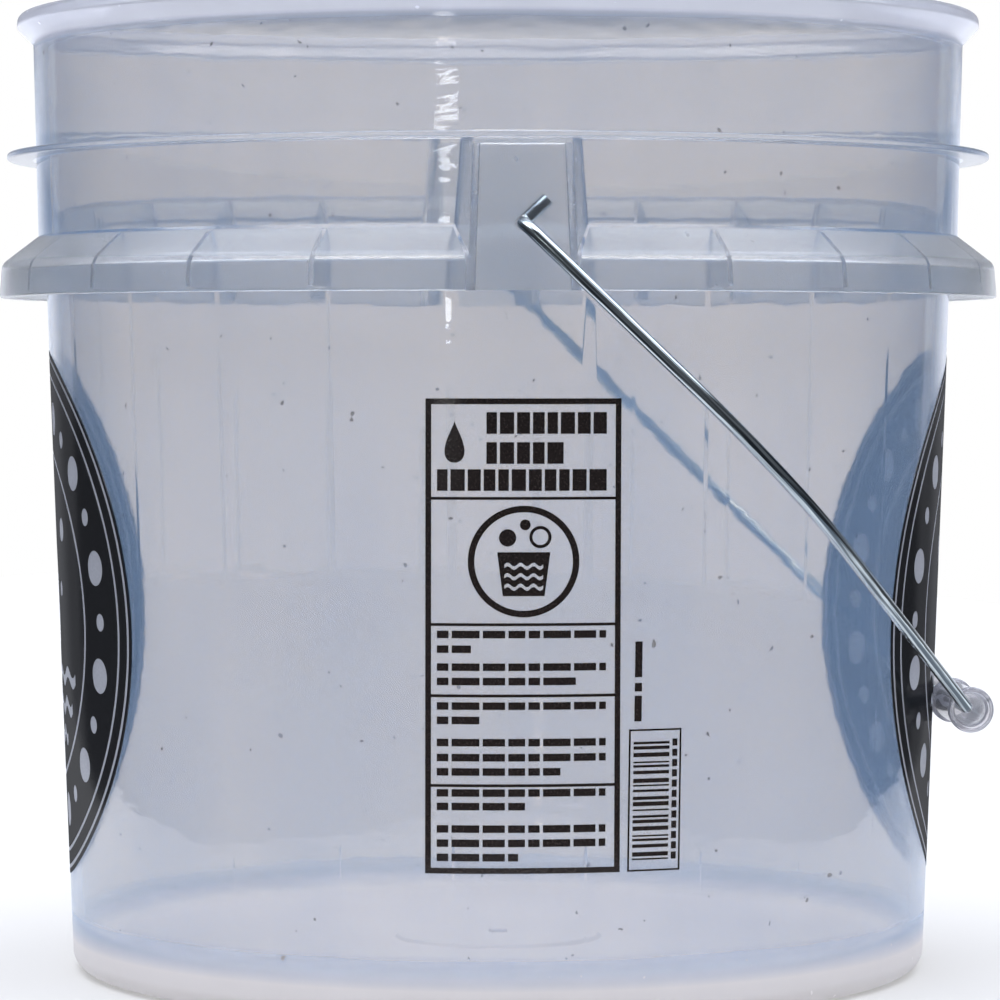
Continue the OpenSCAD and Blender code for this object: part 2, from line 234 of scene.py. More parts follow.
def ear_block(side, inset, reach, z_low, z_high, round_edges=0.0):
    """The solid that one ear's outside or inside encloses, smaller by inset and further out by reach.

    side is -1 for the near ear and 1 for the far one.
    """
    back_y = lower_r(SKIRT_Z) - WALL_T
    bm = bmesh.new()
    rings = []
    for z in (z_low, z_high):
        along = (z - SKIRT_Z) / (RIB_LOW_Z - SKIRT_Z)
        front = EAR_BOTTOM_Y + (EAR_TOP_Y - EAR_BOTTOM_Y) * along - inset + reach
        half = EAR_BOTTOM_HALF + (EAR_TOP_HALF - EAR_BOTTOM_HALF) * along - inset - EAR_FLARE * reach
        back = half + EAR_FLARE * (front - back_y)
        plan = [(-half, front), (half, front), (back, back_y), (-back, back_y)]
        rings.append([bm.verts.new((x, side * y, z)) for x, y in plan])
    for ring in rings:
        bm.faces.new(ring)
    bridge(bm, *rings)
    if round_edges:
        front_edges = [e for e in bm.edges if any(v in rings[0][:2] for v in e.verts)
                       and any(v in rings[1][:2] for v in e.verts)]
        front_edges += [e for e in bm.edges if all(v in rings[1][:2] for v in e.verts)]
        bmesh.ops.bevel(bm, geom=front_edges, offset=round_edges, segments=4, affect="EDGES", profile=0.5)
    return to_object("ear", bm)


def pivot_cylinder(side, d, y_out, y_in):
    """A cylinder along Y through one ear, at the height of the pivot."""
    bm = bmesh.new()
    middle = side * (y_out + y_in) / 2
    prism(bm, circle(0, 0, d / 2, 48), lambda x, z, y: (x, middle + y, PIVOT_Z + z), y_out - y_in)
    return to_object("pin", bm)


def make_collar():
    """Shoulder, skirt and both ears, cut off at the middle of the wall."""
    collar = lathe("collar", skirt_outline())
    along = (PIVOT_Z - SKIRT_Z) / (RIB_LOW_Z - SKIRT_Z)
    inner_y = EAR_BOTTOM_Y - (EAR_BOTTOM_Y - EAR_TOP_Y) * along - EAR_T
    for side in (-1, 1):
        combine(collar, ear_block(side, EAR_T / 2, 6, SKIRT_Z - 1, RIB_LOW_Z), "DIFFERENCE")
        ear = ear_block(side, 0, 0, SKIRT_Z, RIB_LOW_Z + 0.3, round_edges=1.1)
        combine(ear, ear_block(side, EAR_T, 0, SKIRT_Z - 1, RIB_LOW_Z - 1.5, round_edges=0.6), "DIFFERENCE")
        combine(ear, pivot_cylinder(side, BOSS_D, inner_y + EAR_T / 2, inner_y - BOSS_H))
        combine(collar, ear)
        combine(collar, pivot_cylinder(side, PIVOT_HOLE_D, EAR_BOTTOM_Y + 4, NECK_R), "DIFFERENCE")
    top_z = RIB_Z + RIB_T
    core = [
        (0, SKIRT_Z - 1),
        (lower_r(SKIRT_Z) - OVERLAP, SKIRT_Z - 1),
        (lower_r(STEP_LOW_Z) - OVERLAP, STEP_LOW_Z),
        (upper_r(STEP_HIGH_Z) - OVERLAP, STEP_HIGH_Z),
        (upper_r(top_z) - OVERLAP, top_z),
        (0, top_z),
    ]
    return combine(collar, lathe("core", core), "DIFFERENCE")


def radial_plates(name, outline, thickness, angles):
    """Upright plates square to the wall, one at each angle, with an outline of (radius, height) points."""
    bm = bmesh.new()
    for angle in angles:
        a = math.radians(angle)
        prism(bm, outline, lambda r, z, d, a=a: (r * math.cos(a) - d * math.sin(a),
                                                 r * math.sin(a) + d * math.cos(a), z), thickness)
    return to_object(name, bm)


def make_gussets():
    """Thin plates that stiffen the skirt all round, except at the ears."""
    outline = [
        (lower_r(SKIRT_Z) - OVERLAP, SKIRT_Z + 1.5),
        (SKIRT_R - SKIRT_T + BITE, SKIRT_Z + 1.5),
        (CORNER_R - SKIRT_T + BITE, CORNER_Z - SKIRT_T),
        (NECK_R - 0.2, SHOULDER_Z - SKIRT_T),
        (lower_r(STEP_LOW_Z) - OVERLAP, STEP_LOW_Z),
    ]
    angles = [GUSSET_STEP * (step + 0.5) for step in range(360 // GUSSET_STEP)]
    beside_ears = [angle for angle in angles if abs(angle % 180 - 90) > GUSSET_FREE]
    return radial_plates("gussets", outline, GUSSET_T, beside_ears)


def make_foot_ribs():
    """Small radial ribs under the floor, inside the foot ring."""
    outline = box(FOOT_IN_R - FOOT_RIB_L, FOOT_RIB_LOW, FOOT_IN_R + 1, FOOT_RIB_HIGH)
    return radial_plates("foot_ribs", outline, FOOT_RIB_T, [360 / FOOT_RIBS * i for i in range(FOOT_RIBS)])


def gate_outline():
    """Section of the mark that the moulding gate leaves in the middle of the floor."""
    top = FLOOR_Z + DISC_H + GATE_H
    dip = top - 0.3
    return rounded([
        (0, FLOOR_Z, 0),
        (GATE_R, FLOOR_Z, 0),
        (GATE_R - 0.6, top, 0.4),
        (1, top, 0),
        (0.8, dip, 0),
        (0, dip, 0),
    ])


def make_pail():
    """The whole moulding."""
    pail = lathe("pail", shell_outline())
    rib = rounded([
        (upper_r(RIB_Z) - OVERLAP, RIB_LOW_Z, 0),
        (RIB_R, RIB_LOW_Z, 0.7),
        (RIB_R, RIB_LOW_Z + RIB_T, 0.7),
        (upper_r(RIB_Z) - OVERLAP, RIB_LOW_Z + RIB_T, 0),
    ])
    combine(pail, lathe("rib", rib))
    combine(pail, make_collar())
    combine(pail, make_gussets())
    combine(pail, make_foot_ribs())
    combine(pail, lathe("gate", gate_outline(), 48))
    smooth(pail.data)
    return pail


# ---------------------------------------------------------------- the bail
WIRE_D = 3.76
# How far the bail hangs out from straight down
REST_ANGLE = math.radians(44.53)
# Distances from the pivot axis, and the bow of the legs at their elbows
BAIL_REACH, ELBOW_REACH, ELBOW_BOW = 198.5, 101, 2.4
# Places along the pivot axis, and the length of the foot behind each ear
LEG_Y, ELBOW_Y, GRIP_BEND_Y = 157, 165, 43.2
FOOT_Y, FOOT_L = 145.5, 9.85
# Radius of each bend, from the foot to the grip
BENDS = [2.4, 5, 75, 6]


def bail_point(reach, y, bow=0.0):
    """A point of the bail, from its distance to the pivot, its place along the pivot axis and its bow."""
    return Vector((reach * math.sin(REST_ANGLE) + bow * math.cos(REST_ANGLE), y,
                   PIVOT_Z - reach * math.cos(REST_ANGLE) + bow * math.sin(REST_ANGLE)))


def bent_path(points, bends, step=4):
    """Points along straight lines with an arc of the given radius at each inner point."""
    path = [points[0]]
    for i, r in enumerate(bends, start=1):
        before = (points[i] - points[i - 1]).normalized()
        after = (points[i + 1] - points[i]).normalized()
        turn = before.angle(after)
        start = points[i] - before * r * math.tan(turn / 2)
        inward = (after - before * math.cos(turn)).normalized()
        steps = max(3, math.ceil(math.degrees(turn) / step))
        for k in range(steps + 1):
            a = turn * k / steps
            path.append(start + before * r * math.sin(a) + inward * r * (1 - math.cos(a)))
    path.append(points[-1])
    return path


def tube_bmesh(path, profile, sides=32):
    """A tube along a path, with a ring of vertices for each row of profile.

    A row gives the ring's index in the path, its radius and its shift ahead.
    The attribute "straightened" holds each vertex's place on the tube if it were straight.
    """
    bm = bmesh.new()
    last = len(path) - 1
    tangents = [(path[min(i + 1, last)] - path[max(i - 1, 0)]).normalized() for i in range(len(path))]
    normal = tangents[0].orthogonal().normalized()
    normals = []
    for tangent in tangents:
        normal = (normal - tangent * normal.dot(tangent)).normalized()
        normals.append(normal.copy())
    rings = []
    straight = bm.verts.layers.float_vector.new("straightened")
    lengths = [0.0]
    for a, b in zip(path, path[1:]):
        lengths.append(lengths[-1] + (b - a).length)
    for i, r, ahead in profile:
        across = tangents[i].cross(normals[i])
        centre = path[i] + tangents[i] * ahead
        rings.append([])
        for a in full_turn(sides):
            vert = bm.verts.new(centre + (normals[i] * math.cos(a) + across * math.sin(a)) * r)
            vert[straight] = (r * math.cos(a), r * math.sin(a), lengths[i] + ahead)
            rings[-1].append(vert)
    for a, b in zip(rings, rings[1:]):
        bridge(bm, a, b)
    for ring in (rings[0], rings[-1]):
        bm.faces.new(ring)
    return bm


def dense(path, longest=6.0):
    """The path with points added, so that none are further apart than longest."""
    out = [path[0]]
    for a, b in zip(path, path[1:]):
        count = max(1, math.ceil((b - a).length / longest))
        out += [a.lerp(b, k / count) for k in range(1, count + 1)]
    return out


def make_bail():
    """The whole wire, from one foot to the other, with its cut ends slightly rounded."""
    half = [
        bail_point(0, -FOOT_Y, FOOT_L),
        bail_point(0, -FOOT_Y),
        bail_point(0, -LEG_Y),
        bail_point(ELBOW_REACH, -ELBOW_Y, ELBOW_BOW),
        bail_point(BAIL_REACH, -GRIP_BEND_Y),
    ]
    far_half = [Vector((p.x, -p.y, p.z)) for p in reversed(half)]
    path = dense(bent_path(half + far_half, BENDS + BENDS[::-1]))
    last, r = len(path) - 1, WIRE_D / 2
    profile = [(0, r - 0.45, 0.0), (0, r - 0.12, 0.08), (0, r, 0.35)]
    profile += [(i, r, 0.0) for i in range(1, last)]
    profile += [(last, r, -0.35), (last, r - 0.12, -0.08), (last, r - 0.45, 0.0)]
    return to_object("bail", tube_bmesh(path, profile), sharp=40)


# ---------------------------------------------------------------- the grip
GRIP_X, GRIP_Z, GRIP_L = 141.3, 80.4, 77
FLANGE_D, FLANGE_W, COLLAR_W, GRIP_D = 13.8, 2.2, 2.6, 11.9
BORE_D, RECESS_D, RECESS_L = 9.4, 10.6, 2.4


def make_grip():
    """The roller, turned about its own axis and then laid along Y where the wire holds it."""
    end, outer, body = GRIP_L / 2, FLANGE_D / 2, GRIP_D / 2
    half = [
        (outer, COLLAR_W / 2, 0.7),
        (body, COLLAR_W / 2 + 0.5, 0.5),
        (body, end - FLANGE_W - 0.5, 0.5),
        (outer, end - FLANGE_W, 0.7),
        (outer, end, 0.7),
        (RECESS_D / 2, end, 0.4),
        (RECESS_D / 2, end - RECESS_L, 0.3),
        (BORE_D / 2, end - RECESS_L, 0.3),
    ]
    outline = rounded([(r, -z, c) for r, z, c in reversed(half)] + half, step=15)
    grip = lathe("grip_roller", outline, 128)
    for v in grip.data.vertices:
        x, y, z = v.co
        v.co = (GRIP_X * MM + x, -z, GRIP_Z * MM + y)
    return grip


# ---------------------------------------------------------------- prints
# Angles are round the pail from the near ear
EMBLEM_R, EMBLEM_Z, EMBLEM_RIGHT_ANGLE, EMBLEM_LEFT_ANGLE = 80, 109, 90, -88.6
NOTICE_W, NOTICE_H, NOTICE_Z, NOTICE_ANGLE = 54.4, 132.4, 42.9, 0.4
CODE_W, CODE_H, CODE_ANGLE = 15.7, 40, 16.6
# How far inside the badge's edge each of its ring outlines lies, and the line round its middle field
EMBLEM_RINGS = (0, 1.4, 2.6, 6.6, 7.8)
FIELD_R, FIELD_LINE = 50, 1.6
DOTS, DOTS_R, BIG_DOT_R, SMALL_DOT_R = 24, 61.3, 5.2, 2.6
WAVES, WAVE_STEP, WAVE_H, WAVES_R = 3, 9, 3.4, 44
# The notice: its frame, the bars between its fields as shares of its height, its type and its round sign
FRAME_W, BAR_W = 1.6, 0.8
NOTICE_BARS = (0.1895, 0.379, 0.529, 0.794)
TITLE_H, TITLE_X, ROW_H = 6.0, -10.4, 2.1
SIGN_R, SIGN_LINE = 15.5, 1.8
# The inside and outside of a film above the wall, for black ink and the pale ground below it
FILM_IN, FILM_OUT = -0.03, 0.12
PALE_IN, PALE_OUT = -0.01, 0.05
FILM_STEP = 2.5


def drop(x, y, r, count=64):
    """Points of a water drop that stands on its round end, with its middle at x, y."""
    out = []
    for a in full_turn(count):
        pinch = math.sin(a / 2) ** 1.6
        out.append((x + r * math.sin(a) * pinch, y + 1.45 * r * math.cos(a)))
    return out


def wavy_band(x0, x1, y, height, amplitude, waves, count=160):
    """Points of a horizontal band with wavy edges."""
    xs = [x0 + (x1 - x0) * i / count for i in range(count + 1)]
    ripple = [amplitude * math.sin(2 * math.pi * waves * i / count) for i in range(count + 1)]
    low = [(x, y + d) for x, d in zip(xs, ripple)]
    high = [(x, y + height + d) for x, d in zip(xs, ripple)]
    return low + high[::-1]


def print_on_wall(name, outlines, angle, base_z, around=None, inside=FILM_IN, outside=FILM_OUT):
    """A thin film on the lower wall, filled between the outlines: one inside another is a hole in it.

    Outlines are (x, z) points in a view square to the wall at that angle, with z above base_z.
    With around, x is measured round the wall at that radius instead.
    """
    curve = bpy.data.curves.new(name, "CURVE")
    curve.dimensions = "2D"
    curve.fill_mode = "BOTH"
    for outline in outlines:
        spline = curve.splines.new("POLY")
        spline.points.add(len(outline) - 1)
        for point, (x, z) in zip(spline.points, outline):
            point.co = (x, z, 0, 1)
        spline.use_cyclic_u = True
    flat = bpy.data.objects.new(name, curve)
    scene.collection.objects.link(flat)
    bpy.context.view_layer.update()
    bm = bmesh.new()
    evaluated = flat.evaluated_get(bpy.context.evaluated_depsgraph_get())
    bm.from_mesh(evaluated.to_mesh())
    evaluated.to_mesh_clear()
    bpy.data.objects.remove(flat)
    bmesh.ops.remove_doubles(bm, verts=bm.verts, dist=0.001)
    low, high = min(v.co.x for v in bm.verts), max(v.co.x for v in bm.verts)
    for k in range(math.ceil(low / FILM_STEP), math.floor(high / FILM_STEP) + 1):
        bmesh.ops.bisect_plane(bm, geom=bm.verts[:] + bm.edges[:] + bm.faces[:], dist=1e-4,
                               plane_co=(k * FILM_STEP, 0, 0), plane_no=(1, 0, 0))
    bmesh.ops.recalc_face_normals(bm, faces=bm.faces)
    outer = bmesh.ops.duplicate(bm, geom=bm.verts[:] + bm.edges[:] + bm.faces[:])
    twins = outer["vert_map"]
    lifted = {g for g in outer["geom"] if isinstance(g, bmesh.types.BMVert)}
    rim = [e for e in bm.edges if e.is_boundary and e.verts[0] not in lifted]
    sides = [(e.verts[0], e.verts[1], twins[e.verts[1]], twins[e.verts[0]]) for e in rim]
    for v in bm.verts:
        z = base_z + v.co.y
        r = lower_r(z) + (outside if v in lifted else inside)
        x = v.co.x if around is None else around * math.sin(v.co.x / around)
        a = math.radians(angle) + math.asin(x / r)
        v.co = (r * math.sin(a), -r * math.cos(a), z)
    for quad in sides:
        bm.faces.new(quad)
    return to_object(name, bm, sharp=40)


def make_emblem(name, angle):
    """A plain round badge: two rings and a field with a drop, bubbles and waves left clear."""
    outlines = [circle(0, 0, EMBLEM_R - inset, 240) for inset in EMBLEM_RINGS]
    outlines += [circle(0, 0, FIELD_R, 200), circle(0, 0, FIELD_R - FIELD_LINE, 200)]
    for i, (x, y) in enumerate(circle(0, 0, DOTS_R, DOTS)):
        outlines.append(circle(x, y, BIG_DOT_R if i % 2 else SMALL_DOT_R, 48))
    outlines += [drop(0, 12, 17), circle(-24, 20, 5, 40), circle(25, 26, 3.6, 40), circle(20, 8, 2.4, 32)]
    for i in range(WAVES):
        reach = math.sqrt(WAVES_R ** 2 - (18 + WAVE_STEP * i) ** 2) - 3
        outlines.append(wavy_band(-reach, reach, -20 - WAVE_STEP * i, WAVE_H, 1.6, 5))
    return print_on_wall(name, outlines, angle, EMBLEM_Z, around=lower_r(EMBLEM_Z))


def make_emblem_ground(name, angle):
    """The pale disc that shows wherever the black of the badge is left out."""
    disc = circle(0, 0, EMBLEM_R - EMBLEM_RINGS[1] / 2, 240)
    return print_on_wall(name, [disc], angle, EMBLEM_Z, around=lower_r(EMBLEM_Z),
                         inside=PALE_IN, outside=PALE_OUT)


def text_bar(x0, x1, top, height, seed, word=(3.2, 1.5), gap=0.9):
    """A row of plain blocks in place of a line of text."""
    blocks = []
    x, k = x0, seed
    while x < x1 - 1.6:
        stop = x + word[0] + word[1] * ((k * 3 + seed) % 4)
        if stop > x1 - 2:
            stop = x1
        blocks.append(box(x, top - height, stop, top))
        x = stop + gap
        k += 1
    return blocks


# Rows of each field below the round sign, from the highest field down: distance from the field's top
# and share of the width
NOTICE_ROWS = (
    ((2.1, 1), (6.2, 0.2), (11.2, 1), (15.2, 0.82)),
    ((2.2, 1), (6.2, 0.25), (12.4, 1), (16.6, 1), (20.6, 0.73)),
    ((1.4, 1), (5.2, 0.57), (11.5, 1), (15.5, 1), (19.5, 0.48)),
)


def wash_sign(z):
    """A round sign with a bucket of water and bubbles, its middle at height z."""
    outlines = [circle(0, z, SIGN_R), circle(0, z, SIGN_R - SIGN_LINE)]
    outlines.append([(-7.4, z + 2.6), (7.4, z + 2.6), (5.8, z - 9.6), (-5.8, z - 9.6)])
    outlines += [circle(-4.5, z + 6.6, 2.4, 32), circle(0.4, z + 10.2, 1.5, 32)]
    outlines += [circle(4.6, z + 6.8, 3.1, 40), circle(4.6, z + 6.8, 2.2, 40)]
    return outlines + [wavy_band(-5.4, 5.4, z - 1.8 - 2.9 * i, 1.0, 0.5, 3, 60) for i in range(3)]


def make_notice():
    """The upright panel under the near ear: a title, a round sign and three fields of plain rows."""
    half, inner = NOTICE_W / 2, NOTICE_W / 2 - FRAME_W
    bars = [FRAME_W] + [part * NOTICE_H for part in NOTICE_BARS] + [NOTICE_H]
    outlines = [box(-half, 0, half, NOTICE_H)]
    outlines += [box(-inner, low, inner, high - (FRAME_W if high == NOTICE_H else BAR_W))
                 for low, high in zip(bars, bars[1:])]
    x0, x1 = -inner + 1.6, inner - 2.5
    outlines.append(drop(-19.2, NOTICE_H - 12, 4))
    letters = {"height": TITLE_H, "word": (2.9, 0.35), "gap": 0.8}
    outlines += text_bar(TITLE_X, x1, NOTICE_H - 3.8, seed=1, **letters)
    outlines += text_bar(TITLE_X, 11, NOTICE_H - 12.1, seed=2, **letters)
    outlines += text_bar(x0, x1, NOTICE_H - 19.6, seed=3, **letters)
    outlines += wash_sign((bars[3] + bars[4]) / 2 - BAR_W / 2)
    for rows, top in zip(NOTICE_ROWS, (bars[3], bars[2], bars[1])):
        for seed, (down, width) in enumerate(rows):
            outlines += text_bar(x0, x0 + (x1 - x0) * width, top - down, ROW_H, seed)
    return print_on_wall("notice", outlines, NOTICE_ANGLE, NOTICE_Z)


def make_code():
    """A framed panel of plain bars, with a column of small blocks beside them and three blocks above."""
    half, line = CODE_W / 2, 0.5
    outlines = [box(-half, 0, half, CODE_H), box(line - half, line, half - line, CODE_H - line)]
    z, k = 3.2, 0
    while z < CODE_H - 3.6:
        height = 0.45 + 0.4 * ((k * 7) % 4) / 1.6
        outlines.append(box(-half + 1.4, z, half - 3.6, z + height))
        z += height + 0.55 + 0.35 * ((k * 5) % 3)
        k += 1
    z = 3.2
    while z < CODE_H - 4:
        outlines.append(box(half - 2.7, z, half - 1.2, z + 2))
        z += 2.9
    for low, high in ((2.2, 9.4), (10.6, 13), (14.6, 24.6)):
        outlines.append(box(-half + 1.5, CODE_H + low, -half + 3.6, CODE_H + high))
    return print_on_wall("code", outlines, CODE_ANGLE, NOTICE_Z)


# ---------------------------------------------------------------- materials
# Scales of noise are per metre. Colours are linear.
# The plastic: its clear tint, the colour and share of its haze, its roughness and the height of its ripple
WALL_CLEAR, WALL_HAZE = (1.0, 0.90, 0.76), (0.38, 0.60, 0.95)
WALL_MIX, WALL_ROUGH, WALL_RIPPLE = 0.24, 0.035, 0.12
GRIP_CLEAR, GRIP_HAZE = (0.97, 0.955, 0.965), (0.66, 0.68, 0.76)
GRIP_MIX, GRIP_ROUGH, GRIP_RIPPLE = 0.2, 0.06, 0.1
# What changes where the moulding is thick or doubled. A mix or roughness is added to the wall's own, and the
# ripple is a share of it
THICK_CLEAR, THICK_HAZE = (0.95, 0.975, 1.0), (0.93, 0.96, 1.0)
THICK_MIX, THICK_ROUGH, THICK_RIPPLE = -0.185, 0.2, 0.3
LIP_HAZE, LIP_MIX = (0.92, 0.93, 1.0), 0.15
BASE_HAZE, BASE_MIX = (0.93, 0.91, 0.92), 0.55
# Share of the haze that passes light on instead of sending it back: anywhere, in the base, and more if thick
PASS_SHARE, BASE_SHARE, THICK_SHARE = 0.5, 0.2, 0.28
SPECK_COLOUR, SPECK_MIX = (0.10, 0.11, 0.13), 0.35
# The zinc's own pale colour, and a painted dark reflection that streaks the wire in its place
ZINC_PAINTED_DARK_REFLECTION, ZINC_PALE = (0.10, 0.13, 0.16), (0.66, 0.75, 0.80)
INK_GLOSS = 0.06


def node(tree, kind, inputs=None, **settings):
    """A new node. An input's value may be a number, a colour, or another node's output socket."""
    made = tree.nodes.new(kind)
    for key, value in settings.items():
        setattr(made, key, value)
    for key, value in (inputs or {}).items():
        if isinstance(value, bpy.types.NodeSocket):
            tree.links.new(value, made.inputs[key])
        else:
            made.inputs[key].default_value = value
    return made


def material(name):
    """A new material and its empty node tree."""
    mat = bpy.data.materials.new(name)
    mat.use_nodes = True
    mat.node_tree.nodes.clear()
    return mat, mat.node_tree


def math_node(tree, operation, a, b=0.0, c=0.0):
    """The result of one operation on up to three numbers."""
    return node(tree, "ShaderNodeMath", {0: a, 1: b, 2: c}, operation=operation).outputs[0]


def object_coordinates(tree, scale):
    """Object coordinates in metres, stretched by a scale for each axis."""
    at = node(tree, "ShaderNodeTexCoord").outputs["Object"]
    return node(tree, "ShaderNodeMapping", {"Vector": at, "Scale": scale}).outputs[0]


def noise(tree, vector, scale, detail=3.0, roughness=0.5):
    """Noise between 0 and 1 at a place."""
    return node(tree, "ShaderNodeTexNoise", {"Vector": vector, "Scale": scale, "Detail": detail,
                                             "Roughness": roughness}).outputs["Fac"]


def to_range(tree, value, low, high, from_low=0.0, from_high=1.0):
    """A value between from_low and from_high, stretched to run from low to high."""
    return node(tree, "ShaderNodeMapRange", {"Value": value, "From Min": from_low, "From Max": from_high,
                                             "To Min": low, "To Max": high}).outputs[0]


def mix_colour(tree, factor, a, b):
    """A blend of two colours, each three numbers or another node's output."""
    ends = {key: (*end, 1) if isinstance(end, tuple) else end for key, end in (("A", a), ("B", b))}
    return node(tree, "ShaderNodeMix", {"Factor": factor, **ends}, data_type="RGBA").outputs["Result"]


def mix_number(tree, factor, a, b):
    """A blend of two numbers, each a value or another node's output."""
    ends = {"A": a, "B": b}
    return node(tree, "ShaderNodeMix", {"Factor": factor, **ends}, data_type="FLOAT").outputs["Result"]


def bumped(tree, height, strength, distance):
    """The surface's normal with small relief from a height. distance is in metres."""
    relief = {"Height": height, "Strength": strength, "Distance": distance}
    return node(tree, "ShaderNodeBump", relief).outputs["Normal"]


def clear_plastic(name, clear, haze, haze_mix, roughness, ripple, thick=False):
    """Translucent moulded plastic: a tinted refracting surface, mixed with a haze lit from both sides.

    It has slow waves, fine grain, cloudy streaks and dark specks. With thick, it is the pail's own plastic.
    """
    mat, tree = material(name)
    fine = object_coordinates(tree, (1, 1, 1))
    flat_wave = object_coordinates(tree, (0.35, 0.35, 1))
    wave = noise(tree, flat_wave, 95, 2)
    grain = noise(tree, fine, 900, 2)
    height = math_node(tree, "ADD", wave, math_node(tree, "MULTIPLY", grain, 0.02))
    cloud = noise(tree, object_coordinates(tree, (1, 1, 0.25)), 22, 4)
    specks = to_range(tree, noise(tree, fine, 330, 1), 0, 1, 0.775, 0.80)
    haze_colour = mix_colour(tree, specks, haze, SPECK_COLOUR)
    mix = math_node(tree, "ADD", to_range(tree, cloud, haze_mix - 0.02, haze_mix + 0.02, 0.35, 0.65),
                    math_node(tree, "MULTIPLY", specks, SPECK_MIX))
    blur = to_range(tree, cloud, roughness * 0.7, roughness * 1.3)
    share, tint = PASS_SHARE, (*clear, 1)
    if thick:
        outer, base, lip = thick_parts(tree)
        stout = math_node(tree, "MAXIMUM", outer, lip)
        blur = math_node(tree, "MULTIPLY_ADD", outer, THICK_ROUGH, blur)
        ripple = to_range(tree, outer, ripple, ripple * THICK_RIPPLE)
        tint = mix_colour(tree, stout, clear, THICK_CLEAR)
        share = to_range(tree, base, PASS_SHARE, BASE_SHARE)
        share = math_node(tree, "MULTIPLY_ADD", stout, THICK_SHARE, share)
        parts = ((outer, THICK_HAZE, THICK_MIX), (base, BASE_HAZE, BASE_MIX), (lip, LIP_HAZE, LIP_MIX))
        for mask, part_haze, part_mix in parts:
            haze_colour = mix_colour(tree, mask, haze_colour, part_haze)
            mix = math_node(tree, "MULTIPLY_ADD", mask, part_mix, mix)
    bump = bumped(tree, height, ripple, 0.001)
    surface = node(tree, "ShaderNodeBsdfPrincipled", {
        "Base Color": tint, "Transmission Weight": 1.0, "IOR": 1.49, "Normal": bump, "Roughness": blur})
    diffuse = node(tree, "ShaderNodeBsdfDiffuse", {"Color": haze_colour, "Normal": bump})
    through = node(tree, "ShaderNodeBsdfTranslucent", {"Color": haze_colour, "Normal": bump})
    scatter = node(tree, "ShaderNodeMixShader", {0: share, 1: diffuse.outputs[0], 2: through.outputs[0]})
    both = node(tree, "ShaderNodeMixShader", {0: mix, 1: surface.outputs[0], 2: scatter.outputs[0]})
    node(tree, "ShaderNodeOutputMaterial", {"Surface": both.outputs[0]})
    return mat


def thick_parts(tree):
    """Masks of the pail where it is thick or doubled: what stands out of the wall, the base, and the lip."""
    axes = node(tree, "ShaderNodeSeparateXYZ", {0: object_coordinates(tree, (1000, 1000, 1000))}).outputs
    height = axes["Z"]
    radius = node(tree, "ShaderNodeVectorMath", {0: node(tree, "ShaderNodeCombineXYZ", {
        "X": axes["X"], "Y": axes["Y"]}).outputs[0]}, operation="LENGTH").outputs["Value"]
    base = to_range(tree, height, 1, 0, FLOOR_Z + DISC_H, FLOOR_Z + DISC_H + 10)
    lower = math_node(tree, "MULTIPLY_ADD", height, LOWER_DRAFT, BASE_R)
    upper = math_node(tree, "MULTIPLY_ADD", height, UPPER_DRAFT, upper_r(0))
    wall = mix_number(tree, math_node(tree, "GREATER_THAN", height, SHOULDER_Z - 0.5), lower, upper)
    outside = to_range(tree, math_node(tree, "SUBTRACT", radius, wall), 0, 1, 0.3, 1.3)
    lip = to_range(tree, height, 0, 1, LIP_LOW_Z - 3, LIP_LOW_Z + 1)
    below_lip = math_node(tree, "SUBTRACT", 1, lip)
    return math_node(tree, "MULTIPLY", outside, below_lip), base, lip


def zinc_wire():
    """Bright zinc-plated steel: its own pale colour in streaks with a painted dark reflection, laid out in
    millimetres along the wire.
    """
    mat, tree = material("zinc_wire")
    place = node(tree, "ShaderNodeAttribute", attribute_name="straightened").outputs["Vector"]
    along = node(tree, "ShaderNodeMapping", {"Vector": place, "Scale": (1, 1, 0.02)}).outputs[0]
    # Noise along the wire: the relief of its drawing, and the streaks of painted dark reflection
    drawn_and_reflection_streaks = noise(tree, along, 0.9, 3)
    blotch = noise(tree, object_coordinates(tree, (1, 1, 1)), 70, 3)
    # Painted reflection: dark streaks stand in for the dark surroundings that the wire reflects
    colour = mix_colour(tree, to_range(tree, drawn_and_reflection_streaks, 0, 1, 0.42, 0.58), ZINC_PAINTED_DARK_REFLECTION, ZINC_PALE)
    steel = node(tree, "ShaderNodeBsdfPrincipled", {
        "Base Color": colour, "Metallic": 1.0, "Normal": bumped(tree, drawn_and_reflection_streaks, 0.8, 0.0003),
        "Roughness": to_range(tree, blotch, 0.06, 0.16, 0.3, 0.7)})
    node(tree, "ShaderNodeOutputMaterial", {"Surface": steel.outputs[0]})
    return mat


def ink(name, colour, wear_colour):
    """Matt ink with a mottle of a second colour and an even, slight gloss."""
    mat, tree = material(name)
    blotch = noise(tree, object_coordinates(tree, (1, 1, 1)), 60, 4)
    mottle = noise(tree, object_coordinates(tree, (1, 1, 1)), 1500, 2)
    tone = mix_colour(tree, to_range(tree, mottle, 0, 1, 0.35, 0.8), colour, wear_colour)
    bump = bumped(tree, mottle, 0.08, 0.0002)
    matt = node(tree, "ShaderNodeBsdfDiffuse", {"Color": tone, "Normal": bump})
    gloss = node(tree, "ShaderNodeBsdfAnisotropic", {
        "Color": (1, 1, 1, 1), "Normal": bump, "Roughness": to_range(tree, blotch, 0.08, 0.16)})
    both = node(tree, "ShaderNodeMixShader", {0: INK_GLOSS, 1: matt.outputs[0], 2: gloss.outputs[0]})
    node(tree, "ShaderNodeOutputMaterial", {"Surface": both.outputs[0]})
    return mat


# ---------------------------------------------------------------- camera
# Degrees: the camera's place round the pail from the near ear, and how far it looks aside and down from there
CAMERA_TURN, CAMERA_YAW, CAMERA_PITCH = 2.62, 0.027, 1.8315
CAMERA_DISTANCE, CAMERA_HEIGHT = 1303.0, 184.5
CAMERA_LENS = 151.87

